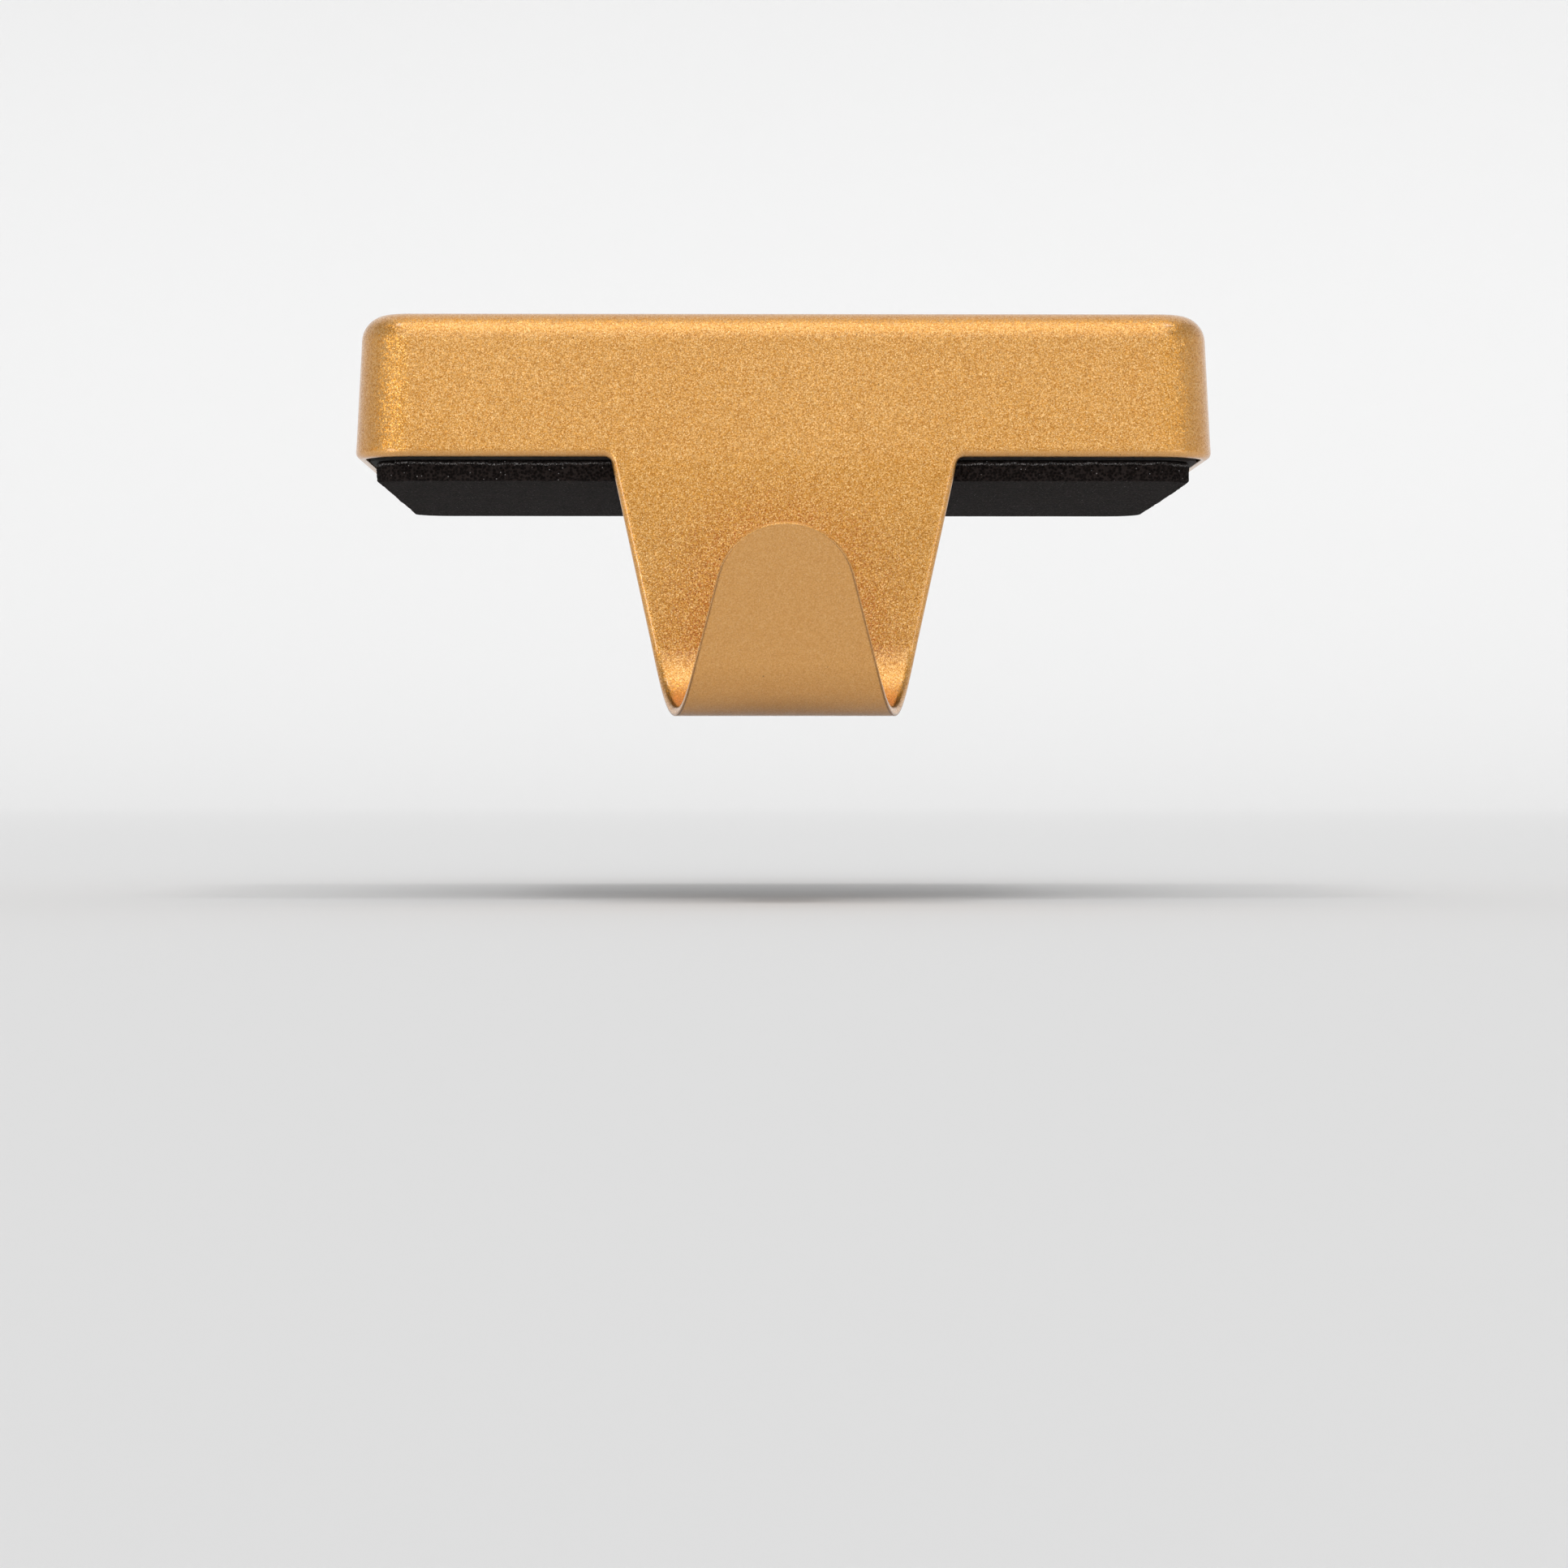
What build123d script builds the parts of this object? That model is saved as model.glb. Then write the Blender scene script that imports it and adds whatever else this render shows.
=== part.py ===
from build123d import *
import os
from math import cos, hypot, radians, sin, tan

# Mantel stocking holder: a pressed sheet shell with its hook, an iron ballast block and a foam pad.
# Millimetres and degrees. +Z is up and the hook faces -Y. The origin is the middle of the pad's
# underside, the face that rests on the mantel shelf.

# Sheet shell, a tray that is open below. Its width and depth are taken across the rim. Its cut
# edges are rolled over at the front side, where the press came in, and crisp at the back
SHEET = 1.0
FRONT_EDGE_ROUND = 0.65
BACK_EDGE_ROUND = 0.1
BODY_WIDTH = 82.0
BODY_DEPTH = 64.0
WALL_HEIGHT = 13.8
WALL_DRAFT = 3.0
CORNER_RADIUS = 5.4
TOP_BEND_RADIUS = 2.6

# Hook tongue, one with the front wall. Each taper is the slant of a side edge
TONGUE_WIDTH = 33.0
TONGUE_DROP = 24.7
TONGUE_TAPER = 12.3
ROOT_BEND_RADIUS = 25.0
ROOT_FILLET = 0.7
HOOK_BEND_RADIUS = 6.8
TIP_LEAN = 20.0
TIP_LENGTH = 13.85
TIP_TAPER = 14.1
BEND_STATIONS = 5

# Ballast block inside the tray
BALLAST_CLEARANCE = 0.4
BALLAST_PROUD = 0.2

# Foam pad under the ballast
PAD_THICKNESS = 2.0
PAD_INSET = 1.9
PAD_CORNER_RADIUS = 4.0

# The turn, in degrees, over which two faces meet at a sharp edge
SHARP_TURN = 45.0

# Levels and planes that the pieces share
RIM_Z = PAD_THICKNESS + BALLAST_PROUD
FRONT_Y = -BODY_DEPTH / 2
WALL_ACROSS = SHEET / cos(radians(WALL_DRAFT))

# Where the tongue turns from the drafted wall to the vertical
ROOT_Y = FRONT_Y + ROOT_BEND_RADIUS * cos(radians(WALL_DRAFT))
ROOT_Z = RIM_Z - ROOT_BEND_RADIUS * sin(radians(WALL_DRAFT))
TONGUE_FRONT_Y = ROOT_Y - ROOT_BEND_RADIUS
TONGUE_BACK_Y = TONGUE_FRONT_Y + SHEET

# The middle of the hook's bend
HOOK_Y = TONGUE_BACK_Y - HOOK_BEND_RADIUS
HOOK_Z = RIM_Z - TONGUE_DROP + HOOK_BEND_RADIUS
BEND_PATH = Plane.YZ * CenterArc((HOOK_Y, HOOK_Z), HOOK_BEND_RADIUS - SHEET / 2, 0, TIP_LEAN - 180)

# Half widths of the tongue at its root, at the bend's start and at the bend's end
TONGUE_SLOPE = tan(radians(TONGUE_TAPER))
TIP_SLOPE = tan(radians(TIP_TAPER))
ROOT_HALF = TONGUE_WIDTH / 2
BEND_START_HALF = ROOT_HALF - TONGUE_SLOPE * (RIM_Z - HOOK_Z)
BEND_END_HALF = BEND_START_HALF - (TONGUE_SLOPE + TIP_SLOPE) / 2 * BEND_PATH.length


def drafted_block(width, depth, corner, height, top_round, base_z):
    """A block with rounded corners that narrows upward by the wall draft and has a rounded top edge."""
    outline = Pos(0, 0, base_z) * RectangleRounded(width, depth, corner)
    block = extrude(outline, amount=height, taper=WALL_DRAFT)
    return fillet(block.faces().sort_by(Axis.Z)[-1].edges(), top_round)


def make_tray():
    """The pressed tray: top plate, four drafted walls and rounded bends, open below."""
    outside = drafted_block(BODY_WIDTH, BODY_DEPTH, CORNER_RADIUS, WALL_HEIGHT, TOP_BEND_RADIUS, RIM_Z)
    inside = drafted_block(
        BODY_WIDTH - 2 * WALL_ACROSS,
        BODY_DEPTH - 2 * WALL_ACROSS,
        CORNER_RADIUS - WALL_ACROSS,
        WALL_HEIGHT - SHEET,
        TOP_BEND_RADIUS - SHEET,
        RIM_Z,
    )
    return outside - inside


def tongue_profile():
    """The tongue's section from the rim to the hook's bend: a shallow bend, then straight down."""
    front_arc = CenterArc((ROOT_Y, ROOT_Z), ROOT_BEND_RADIUS, 180 - WALL_DRAFT, WALL_DRAFT)
    back_arc = CenterArc((ROOT_Y, ROOT_Z), ROOT_BEND_RADIUS - SHEET, 180, -WALL_DRAFT)
    front_end = (TONGUE_FRONT_Y, HOOK_Z)
    back_end = (TONGUE_BACK_Y, HOOK_Z)
    rim_inside = (FRONT_Y + WALL_ACROSS, RIM_Z)
    outline = Curve() + [
        front_arc,
        Line(front_arc @ 1, front_end),
        Line(front_end, back_end),
        Line(back_end, back_arc @ 0),
        back_arc,
        Line(back_arc @ 1, rim_inside),
        Line(rim_inside, front_arc @ 0),
    ]
    return Plane.YZ * make_face(outline)


def tongue_outline():
    """The tongue as seen from the front: straight tapered sides with a fillet at each root corner."""
    sides = make_face(
        Polyline(
            (-ROOT_HALF, RIM_Z),
            (ROOT_HALF, RIM_Z),
            (BEND_START_HALF, HOOK_Z),
            (-BEND_START_HALF, HOOK_Z),
            close=True,
        )
    )
    wall_strip = Pos(0, RIM_Z + SHEET / 2) * Rectangle(BODY_WIDTH, SHEET)
    outline = sides + wall_strip
    corners = outline.vertices().sort_by_distance((0, RIM_Z))[:2]
    return Plane.XZ * fillet(corners, ROOT_FILLET)


def make_tongue():
    """The part of the sheet from the rim down to the hook's bend."""
    band = extrude(tongue_profile(), amount=BODY_WIDTH / 2, both=True)
    return band & extrude(tongue_outline(), amount=BODY_DEPTH)


def bend_section(share):
    """The sheet's section at a share of the way round the hook's bend."""
    run = share * BEND_PATH.length
    half = BEND_START_HALF - TONGUE_SLOPE * run - (TIP_SLOPE - TONGUE_SLOPE) * share * run / 2
    plane = Plane(origin=BEND_PATH @ share, x_dir=(1, 0, 0), z_dir=BEND_PATH % share)
    return plane * Rectangle(2 * half, SHEET)


def make_bend():
    """The tapered tongue curled forward and up round the hook's bend."""
    shares = [station / (BEND_STATIONS - 1) for station in range(BEND_STATIONS)]
    return sweep([bend_section(share) for share in shares], path=BEND_PATH, multisection=True)


def make_tip():
    """The upturned tip, with a round end that runs smoothly into its tapered sides."""
    slant = radians(TIP_TAPER)
    crown = (BEND_END_HALF - TIP_SLOPE * TIP_LENGTH) / (hypot(1, TIP_SLOPE) - TIP_SLOPE)
    crown_y = TIP_LENGTH - crown
    shoulder_x = crown * cos(slant)
    shoulder_y = crown_y + crown * sin(slant)
    outline = Curve() + [
        Line((-BEND_END_HALF, 0), (BEND_END_HALF, 0)),
        Line((BEND_END_HALF, 0), (shoulder_x, shoulder_y)),
        ThreePointArc((shoulder_x, shoulder_y), (0, TIP_LENGTH), (-shoulder_x, shoulder_y)),
        Line((-shoulder_x, shoulder_y), (-BEND_END_HALF, 0)),
    ]
    along = BEND_PATH % 1
    plane = Plane(origin=BEND_PATH @ 1, x_dir=(1, 0, 0), z_dir=Vector(1, 0, 0).cross(along))
    return extrude(plane * make_face(outline), amount=SHEET / 2, both=True)


def faces_by_edge(shape):
    """The two faces that meet at each edge."""
    meeting = {}
    for face in shape.faces():
        for edge in face.edges():
            meeting.setdefault(edge, []).append(face)
    return meeting


def is_sharp(edge, faces):
    """Whether the faces meet at a corner there and don't run smoothly into each other."""
    normals = [face.normal_at(edge @ 0.5) for face in faces]
    return normals[0].get_angle(normals[-1]) > SHARP_TURN


def front_borders(shell):
    """The sharp edges round the sheet's front side, which runs smoothly on from the top of the tray."""
    meeting = faces_by_edge(shell)
    skin = [shell.faces().sort_by(Axis.Z)[-1]]
    borders = []
    for face in skin:
        for edge in face.edges():
            if is_sharp(edge, meeting[edge]):
                borders.append(edge)
            else:
                skin.extend(other for other in meeting[edge] if other not in skin)
    return borders


def back_borders(shell):
    """The sharp edges that are left once the front side's are rounded."""
    return [edge for edge, faces in faces_by_edge(shell).items() if is_sharp(edge, faces)]


def make_hook_shell():
    """The whole sheet piece. Its cut edges are rolled over at the front side and crisp at the back."""
    shell = make_tray() + make_tongue() + make_bend() + make_tip()
    shell = fillet(front_borders(shell), FRONT_EDGE_ROUND)
    return fillet(back_borders(shell), BACK_EDGE_ROUND)


def make_ballast():
    """The cast block that fills the tray. Its top lies against the tray and its underside carries the pad."""
    gap = WALL_ACROSS + BALLAST_CLEARANCE - BALLAST_PROUD * tan(radians(WALL_DRAFT))
    return drafted_block(
        BODY_WIDTH - 2 * gap,
        BODY_DEPTH - 2 * gap,
        CORNER_RADIUS - WALL_ACROSS,
        WALL_HEIGHT - SHEET + BALLAST_PROUD,
        TOP_BEND_RADIUS - SHEET,
        PAD_THICKNESS,
    )


def make_pad():
    """The foam pad on the underside of the ballast."""
    outline = RectangleRounded(BODY_WIDTH - 2 * PAD_INSET, BODY_DEPTH - 2 * PAD_INSET, PAD_CORNER_RADIUS)
    return extrude(outline, amount=PAD_THICKNESS)


def main():
    """Build the three pieces and write one STEP file for each."""
    pieces = {
        "hook_shell": make_hook_shell(),
        "ballast_block": make_ballast(),
        "foam_pad": make_pad(),
    }
    os.makedirs("parts", exist_ok=True)
    for name, piece in pieces.items():
        export_step(piece, f"parts/{name}.step")


main()
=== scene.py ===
"""Dresses the mantel stocking holder: gold flake paint, a cut foam pad and raw iron, in a pale studio.

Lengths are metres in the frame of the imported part: +Z is up and the hook faces -Y.
"""

import math
from typing import NamedTuple

import bpy
from bpy.props import FloatProperty, FloatVectorProperty, IntProperty, PointerProperty
from mathutils import Euler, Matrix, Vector, noise


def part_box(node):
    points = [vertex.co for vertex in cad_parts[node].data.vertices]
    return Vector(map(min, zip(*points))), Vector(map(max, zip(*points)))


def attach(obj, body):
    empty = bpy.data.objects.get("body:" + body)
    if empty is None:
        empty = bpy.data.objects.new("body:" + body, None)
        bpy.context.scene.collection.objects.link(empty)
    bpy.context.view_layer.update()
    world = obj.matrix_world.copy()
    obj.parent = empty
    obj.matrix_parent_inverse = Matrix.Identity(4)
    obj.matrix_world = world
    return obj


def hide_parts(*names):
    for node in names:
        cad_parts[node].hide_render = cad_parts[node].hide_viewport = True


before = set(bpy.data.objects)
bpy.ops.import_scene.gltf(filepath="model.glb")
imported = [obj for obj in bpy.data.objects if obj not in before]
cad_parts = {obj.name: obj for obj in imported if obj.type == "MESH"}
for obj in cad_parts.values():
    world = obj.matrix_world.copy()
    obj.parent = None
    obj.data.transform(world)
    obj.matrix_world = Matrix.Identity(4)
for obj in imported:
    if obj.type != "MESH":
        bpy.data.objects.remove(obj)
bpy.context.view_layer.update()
SHELL_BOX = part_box("hook_shell")
PAD_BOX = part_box("foam_pad")

bl_info = {
    "name": "Mantel Stocking Holder",
    "version": (1, 0, 0),
    "blender": (4, 5, 0),
    "location": "3D View > Sidebar > Holder",
    "description": "Paints the hook shell, builds the foam pad, finishes the ballast and sets up the studio",
    "category": "Object",
}

MM = 0.001
BODY = "root"

# Colours of specks, painted glints, crisp edges darkened by thin paint and painted shade, and rust, as a
# shader socket takes them
# Painted glint: the colour of the few flakes that are painted much brighter than the rest
PAINTED_GLINT = (0.98, 0.7, 0.34, 1.0)
DUST = (0.05, 0.02, 0.006, 1.0)
PALE_LINT = (0.95, 0.8, 0.55, 1.0)
BARE_AND_SHADED_EDGE = (0.1, 0.035, 0.01, 1.0)
RUST = (0.035, 0.018, 0.011, 1.0)

# Widths of the patches where the paint, the foam and the iron change tone
PAINT_PATCH = 9 * MM
FOAM_PATCH = 3 * MM
IRON_STAIN = 7 * MM

# Height above the pad's underside over which the hook's own finish gives way to the tray's
HOOK_FADE = 1.5 * MM

# Moves the pale lint in the paint away from the dark dust
LINT_SHIFT = (0.37, 0.11, 0.23)

# Depths below the pad's top: where its smooth skin begins, where it is whole, and where the line of torn
# shreds with its painted highlight runs
SKIN_START = 0.5 * MM
SKIN_WHOLE = 0.25 * MM
LIT_TORN_LINE = 0.35 * MM

# That line's reach below and above its middle, how far it wanders, and over what length
LIT_TORN_BELOW = 0.16 * MM
LIT_TORN_ABOVE = 0.12 * MM
LIT_TORN_WANDER = 0.8 * MM
LIT_TORN_WAVE = 2.5 * MM

# Lengths of the slow wave and the ripple along the pad's cut side, and of the knife's drag along and up it
WAVE_LENGTH = 9 * MM
RIPPLE_LENGTH = 3.1 * MM
DRAG_ALONG = 1.3 * MM
DRAG_UP = 0.9 * MM


class GoldPaintSettings(bpy.types.PropertyGroup):
    """Sizes and colours of the shell's flake paint."""

    gold: FloatVectorProperty(
        name="Gold",
        description="Colour of a flake that lies flat",
        subtype="COLOR",
        size=3,
        min=0.0,
        max=1.0,
        default=(0.735, 0.35, 0.06),
    )
    bright_flake: FloatVectorProperty(
        name="Bright Flake",
        description="Colour of the brightest flakes",
        subtype="COLOR",
        size=3,
        min=0.0,
        max=1.0,
        default=(0.9, 0.52, 0.185),
    )
    dark_flake: FloatVectorProperty(
        name="Dark Flake",
        description="Colour between the flakes",
        subtype="COLOR",
        size=3,
        min=0.0,
        max=1.0,
        default=(0.54, 0.205, 0.014),
    )
    # Paler on the sheet's back and on all that faces down: partly thinner paint, partly a painted reflection
    # of the pale floor below
    back_gold_and_reflection: FloatVectorProperty(
        name="Back Gold",
        description="Colour of the thinner paint on the back of the sheet",
        subtype="COLOR",
        size=3,
        min=0.0,
        max=1.0,
        default=(0.775, 0.405, 0.13),
    )
    flake_size: FloatProperty(
        name="Flake Size",
        description="Mean width of a clump of flakes",
        unit="LENGTH",
        precision=6,
        default=0.08 * MM,
    )
    flake_tilt: FloatProperty(
        name="Flake Tilt",
        description="How far the flakes lean out of the surface, as a share of its normal",
        min=0.0,
        max=1.0,
        default=0.43,
    )
    roughness: FloatProperty(
        name="Roughness",
        description="Roughness of the flake layer",
        subtype="FACTOR",
        min=0.0,
        max=1.0,
        default=0.38,
    )
    coat_roughness: FloatProperty(
        name="Coat Roughness",
        description="Roughness of the clear coat over the flakes",
        subtype="FACTOR",
        min=0.0,
        max=1.0,
        default=0.2,
    )
    # Reach of the dark line at crisp edges, thin paint and painted shade, and of the rounding of the shading
    # normal there
    edge_reach: FloatProperty(
        name="Bare Edge",
        description="How near to a crisp cut edge the paint begins to thin",
        unit="LENGTH",
        precision=6,
        default=0.5 * MM,
    )
    speck_spacing: FloatProperty(
        name="Speck Spacing",
        description="Mean distance between the places where a dust speck can lie in the paint",
        unit="LENGTH",
        precision=6,
        default=1.0 * MM,
    )
    speck_size: FloatProperty(
        name="Speck Size",
        description="Radius of a dust speck",
        unit="LENGTH",
        precision=6,
        default=0.075 * MM,
    )


class FoamPadSettings(bpy.types.PropertyGroup):
    """Sizes and colours of the foam pad."""

    foam: FloatVectorProperty(
        name="Foam",
        description="Colour of the foam's cell walls",
        subtype="COLOR",
        size=3,
        min=0.0,
        max=1.0,
        default=(0.0122, 0.0094, 0.0087),
    )
    # Light grey of the lint, and of the line just below the pad's top: torn shreds there, with a painted
    # highlight where the top rim catches light
    torn: FloatVectorProperty(
        name="Torn",
        description="Colour of torn shreds and lint",
        subtype="COLOR",
        size=3,
        min=0.0,
        max=1.0,
        default=(0.3, 0.29, 0.29),
    )
    lint_spacing: FloatProperty(
        name="Lint Spacing",
        description="Mean distance between the places where a bit of lint can stick",
        unit="LENGTH",
        precision=6,
        default=0.42 * MM,
    )
    lint_size: FloatProperty(
        name="Lint Size",
        description="Radius of a bit of lint",
        unit="LENGTH",
        precision=6,
        default=0.07 * MM,
    )
    corner_radius: FloatProperty(
        name="Corner Radius",
        description="Radius of the pad's corners, seen from below",
        unit="LENGTH",
        precision=5,
        default=4.0 * MM,
    )
    edge_round: FloatProperty(
        name="Edge Round",
        description="Radius of the pad's upper and lower edges",
        unit="LENGTH",
        precision=6,
        default=0.22 * MM,
    )
    cut_wave: FloatProperty(
        name="Cut Wave",
        description="How far the cut side wanders in and out",
        unit="LENGTH",
        precision=6,
        default=0.16 * MM,
    )
    cut_grain: FloatProperty(
        name="Cut Grain",
        description="Depth of the torn cells on the cut side",
        unit="LENGTH",
        precision=6,
        default=0.09 * MM,
    )
    cell_size: FloatProperty(
        name="Cell Size",
        description="Mean width of a foam cell",
        unit="LENGTH",
        precision=6,
        default=0.26 * MM,
    )
    step: FloatProperty(
        name="Mesh Step",
        description="Distance between points round the pad's outline",
        unit="LENGTH",
        precision=6,
        default=0.22 * MM,
    )
    side_rows: IntProperty(
        name="Side Rows",
        description="Rows of faces up the pad's side",
        min=2,
        default=10,
    )


class BallastSettings(bpy.types.PropertyGroup):
    """Colour and grain of the ballast block."""

    iron: FloatVectorProperty(
        name="Iron",
        description="Colour of the cast skin",
        subtype="COLOR",
        size=3,
        min=0.0,
        max=1.0,
        default=(0.021, 0.02, 0.0195),
    )
    grain_size: FloatProperty(
        name="Grain Size",
        description="Mean width of a sand grain's print",
        unit="LENGTH",
        precision=6,
        default=0.5 * MM,
    )


class StudioSettings(bpy.types.PropertyGroup):
    """Camera, floor and lamps."""

    camera_distance: FloatProperty(
        name="Camera Distance",
        description="From the lens to the holder's front face",
        unit="LENGTH",
        default=450 * MM,
    )
    camera_level: FloatProperty(
        name="Camera Level",
        description="Height of the lens above the pad's underside",
        unit="LENGTH",
        precision=5,
        default=-28.85 * MM,
    )
    camera_side: FloatProperty(
        name="Camera Side",
        description="How far the lens stands right of the holder's middle",
        unit="LENGTH",
        precision=5,
        default=-4.8 * MM,
    )
    camera_aim: FloatProperty(
        name="Camera Aim",
        description="Where the lens points on the holder's front face, right of its middle",
        unit="LENGTH",
        precision=6,
        default=-0.03 * MM,
    )
    frame_width: FloatProperty(
        name="Frame Width",
        description="Width of the picture at the holder's front face",
        unit="LENGTH",
        precision=5,
        default=148.6 * MM,
    )
    floor_level: FloatProperty(
        name="Floor Level",
        description="Height of the floor",
        unit="LENGTH",
        default=-40 * MM,
    )
    paper: FloatVectorProperty(
        name="Paper",
        description="Colour of the seamless floor and backdrop",
        subtype="COLOR",
        size=3,
        min=0.0,
        max=1.0,
        default=(0.82, 0.82, 0.82),
    )
    room_light: FloatProperty(
        name="Room Light",
        description="Strength of the even light from all round",
        min=0.0,
        default=0.39,
    )
    front: FloatProperty(
        name="Front Lamp",
        description="Strength of the wide soft lamp high above the camera",
        min=0.0,
        default=0.77,
    )
    back: FloatProperty(
        name="Back Lamp",
        description="Strength of the lamp high behind the holder",
        min=0.0,
        default=0.5,
    )
    top: FloatProperty(
        name="Top Lamp",
        description="Strength of the soft lamp overhead",
        min=0.0,
        default=0.15,
    )
    side: FloatProperty(
        name="Side Lamps",
        description="Strength of each of the two small lamps overhead, left and right",
        min=0.0,
        default=0.26,
    )
    edge: FloatProperty(
        name="Edge Lamps",
        description="Mean strength of the two low lamps that draw the hook's side edges",
        min=0.0,
        default=0.42,
    )
    edge_balance: FloatProperty(
        name="Edge Balance",
        description="How much stronger than the mean the left edge lamp is, and how much weaker the right",
        subtype="FACTOR",
        min=-1.0,
        max=1.0,
        default=0.25,
    )


class LampPlace(NamedTuple):
    """Where a far lamp stands round the holder and how wide it looks from there, in degrees."""

    azimuth: float
    elevation: float
    width: float


class Wire:
    """A node's output, or a value worked out from outputs, that can stand in a Python expression."""

    def __init__(self, graph, socket):
        self.graph = graph
        self.socket = socket

    def __add__(self, other):
        return self.graph.math("ADD", self, other)

    __radd__ = __add__

    def __sub__(self, other):
        return self.graph.math("SUBTRACT", self, other)

    def __rsub__(self, other):
        return self.graph.math("SUBTRACT", other, self)

    def __mul__(self, other):
        return self.graph.math("MULTIPLY", self, other)

    __rmul__ = __mul__


class Graph:
    """The nodes of one material."""

    def __init__(self, name):
        self.material = bpy.data.materials.new(name)
        self.material.use_nodes = True
        self.tree = self.material.node_tree
        self.tree.nodes.clear()

    def node(self, kind, outputs, settings=None, sockets=None):
        """Adds a node with its settings, then its socket values or links. Gives a wire for each output."""
        made = self.tree.nodes.new(kind)
        for name, value in (settings or {}).items():
            setattr(made, name, value)
        for name, value in (sockets or {}).items():
            socket = next(s for s in made.inputs if s.enabled and name in (s.name, s.identifier))
            if isinstance(value, Wire):
                self.tree.links.new(value.socket, socket)
            else:
                socket.default_value = value
        wires = [
            Wire(self, next(s for s in made.outputs if s.enabled and s.name == name))
            for name in outputs
        ]
        return wires[0] if len(wires) == 1 else wires

    def math(self, operation, first, second):
        """A Math node on two values."""
        sockets = {"Value": first, "Value_001": second}
        return self.node("ShaderNodeMath", ["Value"], {"operation": operation}, sockets)

    def vector(self, operation, first, second):
        """A Vector Math node on two vectors."""
        sockets = {"Vector": first, "Vector_001": second}
        return self.node("ShaderNodeVectorMath", ["Vector"], {"operation": operation}, sockets)

    def likeness(self, first, second):
        """How alike two directions are: 1 where they are the same, 0 where they are square to each other."""
        sockets = {"Vector": first, "Vector_001": second}
        return self.node("ShaderNodeVectorMath", ["Value"], {"operation": "DOT_PRODUCT"}, sockets)

    def scaled(self, vector, size):
        """A vector made longer or shorter."""
        sockets = {"Vector": vector, "Scale": size}
        return self.node("ShaderNodeVectorMath", ["Vector"], {"operation": "SCALE"}, sockets)

    def direction(self, vector):
        """A vector brought to a length of 1."""
        return self.node("ShaderNodeVectorMath", ["Vector"], {"operation": "NORMALIZE"}, {"Vector": vector})

    def mix(self, share, first, second):
        """A colour between two colours."""
        settings = {"data_type": "RGBA", "clamp_factor": True}
        return self.node("ShaderNodeMix", ["Result"], settings, {"Factor": share, "A": first, "B": second})

    def ramp(self, value, low, high, start=0.0, end=1.0):
        """A smooth step from start, at low, to end, at high."""
        sockets = {"Value": value, "From Min": low, "From Max": high, "To Min": start, "To Max": end}
        return self.node("ShaderNodeMapRange", ["Result"], {"interpolation_type": "SMOOTHSTEP"}, sockets)

    def place(self):
        """The point on the object, in metres."""
        return self.node("ShaderNodeTexCoord", ["Object"])

    def clouds(self, place, size, detail=2.0, roughness=0.5):
        """Noise whose lumps are about that size."""
        sockets = {"Vector": place, "Scale": 1 / size, "Detail": detail, "Roughness": roughness}
        return self.node("ShaderNodeTexNoise", ["Fac"], sockets=sockets)

    def cells(self, place, size):
        """Cells of about that size: the distance to a cell's middle, in cells, and its own random colour."""
        sockets = {"Vector": place, "Scale": 1 / size}
        return self.node("ShaderNodeTexVoronoi", ["Distance", "Color"], sockets=sockets)

    def parts(self, colour):
        """The three numbers of a colour or vector."""
        return self.node("ShaderNodeSeparateXYZ", ["X", "Y", "Z"], sockets={"Vector": colour})

    def joined(self, x, y, z):
        """A vector of three numbers."""
        return self.node("ShaderNodeCombineXYZ", ["Vector"], sockets={"X": x, "Y": y, "Z": z})

    def bumped(self, height, depth, strength):
        """The normal of a surface with a relief of that depth."""
        sockets = {"Strength": strength, "Distance": depth, "Height": height}
        return self.node("ShaderNodeBump", ["Normal"], sockets=sockets)

    def surface(self, sockets):
        """The shader and its output."""
        shader = self.node("ShaderNodeBsdfPrincipled", ["BSDF"], sockets=sockets)
        self.node("ShaderNodeOutputMaterial", [], sockets={"Surface": shader})
        return self.material


def opaque(colour, strength=1.0):
    """A colour as a shader socket takes it, made darker or lighter by a strength."""
    return (*(strength * part for part in colour), 1.0)


def specks(graph, place, spacing, size, share):
    """A mask of round specks. Only that share of the places has one."""
    distance, chance = graph.cells(place, spacing)
    chosen = graph.ramp(graph.parts(chance)[0], 1 - share, 1 - share + 0.01)
    return chosen * graph.ramp(distance, 0.6 * size / spacing, size / spacing, 1.0, 0.0)


def hook_mask(graph, place):
    """1 on the hook, below the pad's underside, and 0 on the tray."""
    height = graph.parts(place)[2]
    return graph.ramp(height, 0.0, HOOK_FADE, 1.0, 0.0)


def sheet_back_and_painted_reflection(graph, normal, hook):
    """A mask of the sheet's back side, which also carries a painted reflection: all that faces down, and on
    the hook what faces backward too.
    """
    _, backward, upward = graph.parts(normal)
    below = graph.ramp(upward, -0.25, -0.1, 1.0, 0.0)
    behind = graph.ramp(backward, 0.5, 0.9) * hook
    return graph.math("MAXIMUM", below, behind)


def flake_colour(graph, settings, place, shade, sparkle):
    """Dark, plain and bright flakes, with a few painted much brighter as painted glints, in slightly lighter
    and darker patches.
    """
    fine = graph.clouds(place, 0.5 * settings.flake_size, detail=1.0)
    patches = graph.clouds(place, PAINT_PATCH, detail=3.0)
    tone = 0.9 * shade + 0.2 * fine + 0.16 * patches - 0.13
    colour = graph.mix(graph.ramp(tone, 0.1, 0.5), opaque(settings.dark_flake), opaque(settings.gold))
    colour = graph.mix(graph.ramp(tone, 0.5, 0.95), colour, opaque(settings.bright_flake))
    # Painted glints: a few flakes take a much brighter colour, whatever the light
    return graph.mix(graph.ramp(sparkle, 0.93, 0.97, 0.0, 0.6), colour, PAINTED_GLINT)


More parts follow.
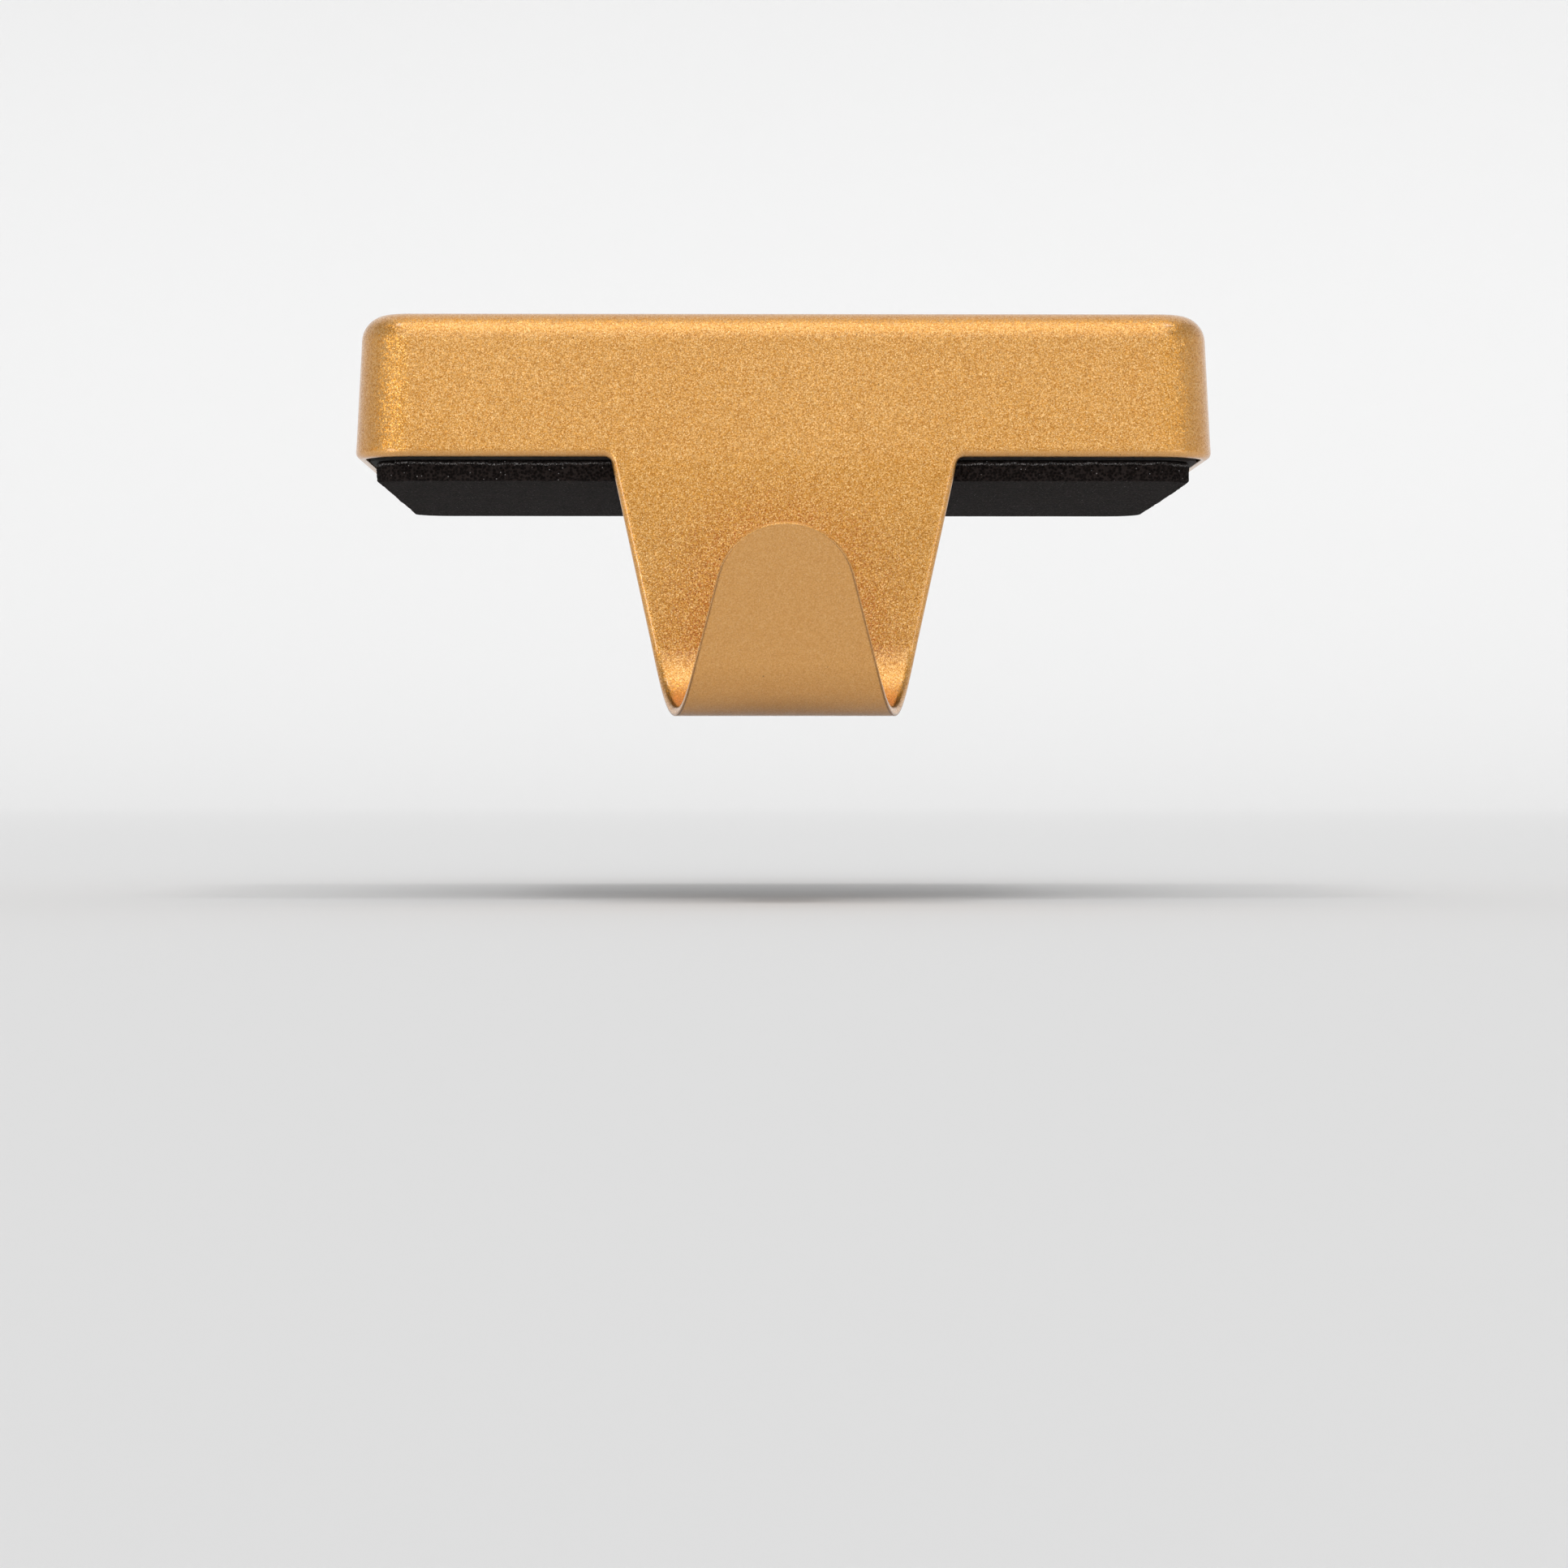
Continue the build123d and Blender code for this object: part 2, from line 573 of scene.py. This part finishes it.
def dusty(graph, settings, place, colour):
    """The colour with dark dust and pale lint in it."""
    dust = specks(graph, place, settings.speck_spacing, settings.speck_size, share=0.2)
    elsewhere = graph.vector("ADD", place, LINT_SHIFT)
    lint = specks(graph, elsewhere, settings.speck_spacing, 0.8 * settings.speck_size, share=0.25)
    colour = graph.mix(0.75 * dust, colour, DUST)
    return graph.mix(0.6 * lint, colour, PALE_LINT)


def bare_and_shaded_edge_mask(graph, normal, blunted, hook):
    """A mask of the hook's crisp cut edges, where the paint is thin, with painted shade. Edges that look up,
    where the light falls, are left out.
    """
    crisp = graph.ramp(graph.likeness(normal, blunted), 0.93, 0.99, 1.0, 0.0)
    rising = graph.ramp(graph.parts(blunted)[2], -0.1, 0.1)
    return crisp * (1 - rising) * hook


def make_gold_paint(settings):
    """Metal flakes of several shades that lean a little each way, painted glints, dust specks, and a clear
    coat over all; painted reflection on the sheet's back and painted shade at its crisp edges.
    """
    graph = Graph("gold_flake_paint")
    place = graph.place()
    normal = graph.node("ShaderNodeNewGeometry", ["Normal"])
    blunted = graph.node("ShaderNodeBevel", ["Normal"], {"samples": 8}, {"Radius": settings.edge_reach})
    hook = hook_mask(graph, place)
    back = sheet_back_and_painted_reflection(graph, normal, hook)
    chance = graph.cells(place, settings.flake_size)[1]
    shade, lean, sparkle = graph.parts(chance)

    colour = flake_colour(graph, settings, place, shade, sparkle)
    # Paler paint on the back and on all that faces down: thinner paint, and a painted reflection of the pale
    # floor
    colour = graph.mix(0.55 * back, colour, opaque(settings.back_gold_and_reflection))
    colour = dusty(graph, settings, place, colour)
    # Crisp edges darkened: thin paint, and painted shade on all but those that look up
    colour = graph.mix(bare_and_shaded_edge_mask(graph, normal, blunted, hook), colour, BARE_AND_SHADED_EDGE)

    # Each flake leans its own way, and half as far on the sheet's calmer back
    lean_way = graph.vector("SUBTRACT", graph.joined(lean, shade, sparkle), (0.5, 0.5, 0.5))
    leaning = graph.scaled(lean_way, settings.flake_tilt * (1 - 0.5 * back))
    return graph.surface(
        {
            "Base Color": colour,
            "Metallic": 1.0,
            "Roughness": settings.roughness + 0.1 * (sparkle - 0.5) + 0.05 * (lean - 0.5),
            "Normal": graph.direction(graph.vector("ADD", blunted, leaning)),
            "Coat Weight": 1.0,
            "Coat Roughness": settings.coat_roughness,
            "Coat IOR": 1.5,
        }
    )


def lit_torn_line(graph, place, height, level):
    """A mask of the light line, torn shreds with a painted highlight, that wanders along the cut side at
    about that level.
    """
    wander = graph.clouds(place, LIT_TORN_WAVE, detail=5.0, roughness=0.7) - 0.5
    height = height + LIT_TORN_WANDER * wander
    upper = graph.ramp(height, level, level + LIT_TORN_ABOVE, 1.0, 0.0)
    return graph.ramp(height, level - LIT_TORN_BELOW, level) * upper


def make_foam(settings, top):
    """Black foam with torn cells and lint, painted shade in the cells' pits and painted highlight on their
    walls. Just below its top are a smooth skin and a line of shreds with a painted highlight.
    """
    graph = Graph("black_foam")
    place = graph.place()
    distance, chance = graph.cells(place, settings.cell_size)
    fine = graph.clouds(place, 0.4 * settings.cell_size)
    patches = graph.clouds(place, FOAM_PATCH)
    height = graph.parts(place)[2]
    skin = graph.ramp(height, top - SKIN_START, top - SKIN_WHOLE)

    # Painted shade in the cells' pits and painted highlight on their walls, mixed with random tone
    wall = graph.ramp(distance, 0.2, 0.75)
    tone = 0.55 * wall + 0.35 * fine + 0.3 * patches
    # Shaded and lit copies of the foam's colour: painted shade and painted highlight
    shaded_pit = opaque(settings.foam, 0.3)
    lit_crest = opaque(settings.foam, 2.2)
    colour = graph.mix(graph.ramp(tone, 0.2, 0.6), shaded_pit, opaque(settings.foam))
    colour = graph.mix(graph.ramp(tone, 0.6, 1.0), colour, lit_crest)
    shreds = lit_torn_line(graph, place, height, top - LIT_TORN_LINE) * graph.ramp(fine, 0.46, 0.62, 0.05, 0.9)
    # The line of shreds also stands for the top rim catching light: a painted highlight
    colour = graph.mix(shreds, colour, opaque(settings.torn))
    lint = specks(graph, place, settings.lint_spacing, settings.lint_size, share=0.3)
    colour = graph.mix(0.8 * lint, colour, opaque(settings.torn))

    relief = (wall + 0.5 * fine) * (1 - 0.6 * skin)
    return graph.surface(
        {
            "Base Color": colour,
            "Roughness": 0.92 - 0.4 * skin + 0.06 * (graph.parts(chance)[0] - 0.5),
            "Specular IOR Level": 0.05,
            "Normal": graph.bumped(relief, depth=0.12 * MM, strength=0.9),
        }
    )


def make_raw_iron(settings):
    """The dark, sandy skin of a casting, with a little rust."""
    graph = Graph("raw_cast_iron")
    place = graph.place()
    sand = graph.clouds(place, settings.grain_size, detail=3.0, roughness=0.6)
    stain = graph.clouds(place, IRON_STAIN, detail=3.0)
    dark = opaque(settings.iron, 0.55)
    light = opaque(settings.iron, 1.5)
    colour = graph.mix(graph.ramp(0.6 * sand + 0.5 * stain, 0.3, 0.8), dark, light)
    colour = graph.mix(graph.ramp(stain, 0.56, 0.75, 0.0, 0.5), colour, RUST)
    return graph.surface(
        {
            "Base Color": colour,
            "Roughness": 0.72 + 0.3 * (sand - 0.5),
            "Specular IOR Level": 0.15,
            "Normal": graph.bumped(sand, depth=0.15 * MM, strength=0.7),
        }
    )


def make_paper(settings):
    """Matt seamless paper."""
    graph = Graph("studio_paper")
    return graph.surface({"Base Color": opaque(settings.paper), "Roughness": 1.0, "Specular IOR Level": 0.0})


def new_object(name, vertices, faces, material):
    """A smooth mesh object with one material."""
    mesh = bpy.data.meshes.new(name)
    mesh.from_pydata(vertices, [], faces)
    mesh.validate()
    mesh.update()
    mesh.polygons.foreach_set("use_smooth", [True] * len(mesh.polygons))
    mesh.materials.append(material)
    made = bpy.data.objects.new(name, mesh)
    bpy.context.scene.collection.objects.link(made)
    return made


def bridge(first, second, count):
    """The quads between two closed rings of points, by the number of each ring's first point."""
    return [
        (first + i, first + (i + 1) % count, second + (i + 1) % count, second + i)
        for i in range(count)
    ]


def fan(middle, ring, count):
    """The triangles between a middle point and a closed ring, by its first point's number."""
    return [(middle, ring + i, ring + (i + 1) % count) for i in range(count)]


def rounded_outline(half_width, half_depth, radius, step):
    """Points round a rectangle with round corners, and the way outward at each."""
    sides = (
        (Vector((0, -1)), half_depth, half_width),
        (Vector((1, 0)), half_width, half_depth),
        (Vector((0, 1)), half_depth, half_width),
        (Vector((-1, 0)), half_width, half_depth),
    )
    corner_steps = max(3, round(math.pi / 2 * radius / step))
    points = []
    for outward, reach, half_length in sides:
        along = Vector((-outward.y, outward.x))
        straight = 2 * (half_length - radius)
        start = outward * reach - along * straight / 2
        steps = max(2, round(straight / step))
        points += [(start + along * straight * i / steps, outward) for i in range(steps)]
        centre = outward * (reach - radius) + along * straight / 2
        for i in range(corner_steps):
            angle = math.pi / 2 * i / corner_steps
            way = outward * math.cos(angle) + along * math.sin(angle)
            points.append((centre + way * radius, way))
    return points


class HOLDER_OT_paint_shell(bpy.types.Operator):
    """Give the hook shell its gold flake paint"""

    bl_idname = "holder.paint_shell"
    bl_label = "Paint Hook Shell"

    def execute(self, context):
        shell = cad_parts["hook_shell"]
        shell.data.materials.clear()
        shell.data.materials.append(make_gold_paint(context.scene.holder_paint))
        return {"FINISHED"}


class HOLDER_OT_finish_ballast(bpy.types.Operator):
    """Give the ballast block its cast skin"""

    bl_idname = "holder.finish_ballast"
    bl_label = "Finish Ballast Block"

    def execute(self, context):
        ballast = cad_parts["ballast_block"]
        ballast.data.materials.clear()
        ballast.data.materials.append(make_raw_iron(context.scene.holder_ballast))
        return {"FINISHED"}


class HOLDER_OT_build_pad(bpy.types.Operator):
    """Build the foam pad with its uneven cut side"""

    bl_idname = "holder.build_pad"
    bl_label = "Build Foam Pad"

    # Sizes of the rings on the pad's flat faces, as shares of its outline
    INNER_RINGS = (0.15, 0.35, 0.55, 0.72, 0.86, 0.94, 0.98)

    def side_profile(self, settings, thickness):
        """(inset, height) pairs from the pad's top edge, round its side, to its bottom edge."""
        radius = settings.edge_round
        rows = []
        for i in range(settings.side_rows + 1):
            height = thickness * (1 - i / settings.side_rows)
            depth = max(radius - height, radius - (thickness - height), 0.0)
            rows.append((radius - math.sqrt(radius**2 - depth**2), height))
        return rows

    def cut(self, settings, place, height):
        """How far the cut side lies inward at a point."""
        along = Vector((place.x, place.y, 0))
        ripple = noise.noise(along / RIPPLE_LENGTH + Vector((7, 3, 1)))
        wave = noise.noise(along / WAVE_LENGTH) + 0.6 * ripple
        drag = noise.noise(Vector((place.x / DRAG_ALONG, place.y / DRAG_ALONG, height / DRAG_UP)))
        grain = noise.noise(Vector((place.x, place.y, height)) / settings.cell_size)
        inward = settings.cut_wave * (0.9 + wave) / 2 + settings.cut_grain * (0.5 * drag + grain + 1.0)
        return max(0.0, inward)

    def flat_ring(self, outline, share, height):
        """The outline drawn in to a share of its size, on a flat face."""
        return [(place.x * share, place.y * share, height) for place, _ in outline]

    def cut_ring(self, settings, outline, inset, height):
        """The outline at a height up the cut side."""
        ring = []
        for place, way in outline:
            at = place - way * (inset + self.cut(settings, place, height))
            ring.append((at.x, at.y, height))
        return ring

    def pad_rings(self, settings, half, thickness):
        """Closed rings of points from the middle of the pad's top, round its side, to the middle below."""
        outline = rounded_outline(half.x, half.y, settings.corner_radius, settings.step)
        rings = [self.flat_ring(outline, share, thickness) for share in self.INNER_RINGS]
        for inset, height in self.side_profile(settings, thickness):
            rings.append(self.cut_ring(settings, outline, inset, height))
        rings += [self.flat_ring(outline, share, 0.0) for share in reversed(self.INNER_RINGS)]
        return rings

    def execute(self, context):
        settings = context.scene.holder_pad
        low, high = PAD_BOX
        half = (high - low) / 2
        thickness = high.z - low.z
        rings = self.pad_rings(settings, half, thickness)

        points = [(0, 0, thickness)]
        for ring in rings:
            points += ring
        points.append((0, 0, 0))
        base = Vector((low.x + half.x, low.y + half.y, low.z))
        vertices = [base + Vector(point) for point in points]

        count = len(rings[0])
        starts = [1 + i * count for i in range(len(rings))]
        faces = fan(0, starts[0], count)
        for first, second in zip(starts, starts[1:]):
            faces += bridge(second, first, count)
        faces += [face[::-1] for face in fan(len(points) - 1, starts[-1], count)]

        pad = new_object("cut_foam_pad", vertices, faces, make_foam(settings, high.z))
        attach(pad, BODY)
        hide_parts("foam_pad")
        return {"FINISHED"}


class HOLDER_OT_set_stage(bpy.types.Operator):
    """Set up the camera, the seamless paper and the lamps"""

    bl_idname = "holder.set_stage"
    bl_label = "Set Up Studio"

    # Seamless paper, in metres. Its wall is open for OPEN_FRONT degrees each side of the front, and then
    # rises to its full height over OPEN_FADE degrees
    SWEEP_RADIUS = 2.2
    COVE_RADIUS = 0.5
    WALL_HEIGHT = 1.3
    OPEN_FRONT = 45
    OPEN_FADE = 25
    SECTORS = 96
    COVE_STEPS = 16
    FLOOR_RINGS = (0.1, 0.25, 0.5, 0.9, 1.4)

    # Camera: the width of its sensor in millimetres, and the nearest that it sees in metres
    SENSOR = 36.0
    CLIP_START = 0.01

    # Lamps. The side and edge lamps stand in pairs, left and right
    FRONT_LAMP = LampPlace(azimuth=0, elevation=40, width=58)
    BACK_LAMP = LampPlace(azimuth=180, elevation=48, width=70)
    TOP_LAMP = LampPlace(azimuth=0, elevation=76, width=28)
    SIDE_LAMP = LampPlace(azimuth=51, elevation=64, width=12)
    EDGE_LAMP = LampPlace(azimuth=40, elevation=-5, width=16)

    def add_camera(self, context, settings):
        """A level camera in front of the holder, whose body reaches as far forward as back."""
        camera = bpy.data.cameras.new("camera")
        camera.sensor_width = self.SENSOR
        camera.lens = self.SENSOR * settings.camera_distance / settings.frame_width
        camera.clip_start = self.CLIP_START
        rig = bpy.data.objects.new("camera", camera)
        front = -SHELL_BOX[1].y
        rig.location = (settings.camera_side, front - settings.camera_distance, settings.camera_level)
        turn = math.atan2(settings.camera_aim - settings.camera_side, settings.camera_distance)
        rig.rotation_euler = (math.radians(90), 0, -turn)
        context.scene.collection.objects.link(rig)
        context.scene.camera = rig

    def wall_share(self, angle):
        """How much of its full height the backdrop has at an angle round the floor."""
        from_front = abs((angle + math.pi / 2 + math.pi) % (2 * math.pi) - math.pi)
        share = (math.degrees(from_front) - self.OPEN_FRONT) / self.OPEN_FADE
        share = min(1.0, max(0.0, share))
        return share * share * (3 - 2 * share)

    def add_paper(self, settings):
        """A round floor that sweeps up into a backdrop at the sides and the back."""
        flat = self.SWEEP_RADIUS - self.COVE_RADIUS
        profile = [(radius, 0.0) for radius in self.FLOOR_RINGS]
        for i in range(self.COVE_STEPS + 1):
            turn = math.pi / 2 * i / self.COVE_STEPS
            rise = self.COVE_RADIUS * (1 - math.cos(turn))
            profile.append((flat + self.COVE_RADIUS * math.sin(turn), rise))
        profile.append((self.SWEEP_RADIUS, self.WALL_HEIGHT))
        vertices = [(0, 0, settings.floor_level)]
        for radius, rise in profile:
            for i in range(self.SECTORS):
                angle = 2 * math.pi * i / self.SECTORS
                height = settings.floor_level + rise * self.wall_share(angle)
                vertices.append((radius * math.cos(angle), radius * math.sin(angle), height))
        faces = fan(0, 1, self.SECTORS)
        for ring in range(len(profile) - 1):
            faces += bridge(1 + (ring + 1) * self.SECTORS, 1 + ring * self.SECTORS, self.SECTORS)
        paper = new_object("seamless_paper", vertices, faces, make_paper(settings))
        paper.visible_shadow = False

    def add_lamp(self, context, name, strength, place, way=1):
        """A soft lamp far off. Azimuth 0 is the front, and a way of -1 puts the lamp on the left."""
        lamp = bpy.data.lights.new(name, "SUN")
        lamp.energy = strength
        lamp.angle = math.radians(place.width)
        rig = bpy.data.objects.new(name, lamp)
        tilt = math.radians(90 - place.elevation)
        rig.rotation_euler = Euler((tilt, 0, math.radians(place.azimuth * way)))
        context.scene.collection.objects.link(rig)

    def add_room_light(self, context, settings):
        """Even light from all round."""
        world = bpy.data.worlds.new("room")
        world.use_nodes = True
        background = next(n for n in world.node_tree.nodes if n.type == "BACKGROUND")
        background.inputs["Color"].default_value = (1, 1, 1, 1)
        background.inputs["Strength"].default_value = settings.room_light
        context.scene.world = world

    def execute(self, context):
        settings = context.scene.holder_studio
        self.add_camera(context, settings)
        self.add_paper(settings)
        self.add_lamp(context, "front_lamp", settings.front, self.FRONT_LAMP)
        self.add_lamp(context, "back_lamp", settings.back, self.BACK_LAMP)
        self.add_lamp(context, "top_lamp", settings.top, self.TOP_LAMP)
        for side, way in (("left", -1), ("right", 1)):
            self.add_lamp(context, f"{side}_top_lamp", settings.side, self.SIDE_LAMP, way)
            edge = settings.edge * (1 - settings.edge_balance * way)
            self.add_lamp(context, f"{side}_edge_lamp", edge, self.EDGE_LAMP, way)
        self.add_room_light(context, settings)
        context.scene.view_settings.view_transform = "Standard"
        return {"FINISHED"}


class HOLDER_PT_panel(bpy.types.Panel):
    """The holder's steps in the sidebar"""

    bl_idname = "HOLDER_PT_panel"
    bl_label = "Mantel Stocking Holder"
    bl_space_type = "VIEW_3D"
    bl_region_type = "UI"
    bl_category = "Holder"

    def draw(self, context):
        for step in STEPS:
            self.layout.operator(step.bl_idname)


STEPS = (HOLDER_OT_paint_shell, HOLDER_OT_finish_ballast, HOLDER_OT_build_pad, HOLDER_OT_set_stage)
SETTINGS = {
    "holder_paint": GoldPaintSettings,
    "holder_pad": FoamPadSettings,
    "holder_ballast": BallastSettings,
    "holder_studio": StudioSettings,
}


def register():
    """Adds the settings, the steps and the panel."""
    for name, group in SETTINGS.items():
        bpy.utils.register_class(group)
        setattr(bpy.types.Scene, name, PointerProperty(type=group))
    for step in (*STEPS, HOLDER_PT_panel):
        bpy.utils.register_class(step)


def unregister():
    """Takes them away again."""
    for step in (HOLDER_PT_panel, *STEPS):
        bpy.utils.unregister_class(step)
    for name, group in SETTINGS.items():
        delattr(bpy.types.Scene, name)
        bpy.utils.unregister_class(group)


def main():
    """Takes the steps in order."""
    register()
    bpy.ops.holder.paint_shell()
    bpy.ops.holder.finish_ballast()
    bpy.ops.holder.build_pad()
    bpy.ops.holder.set_stage()


if __name__ == "__main__":
    main()
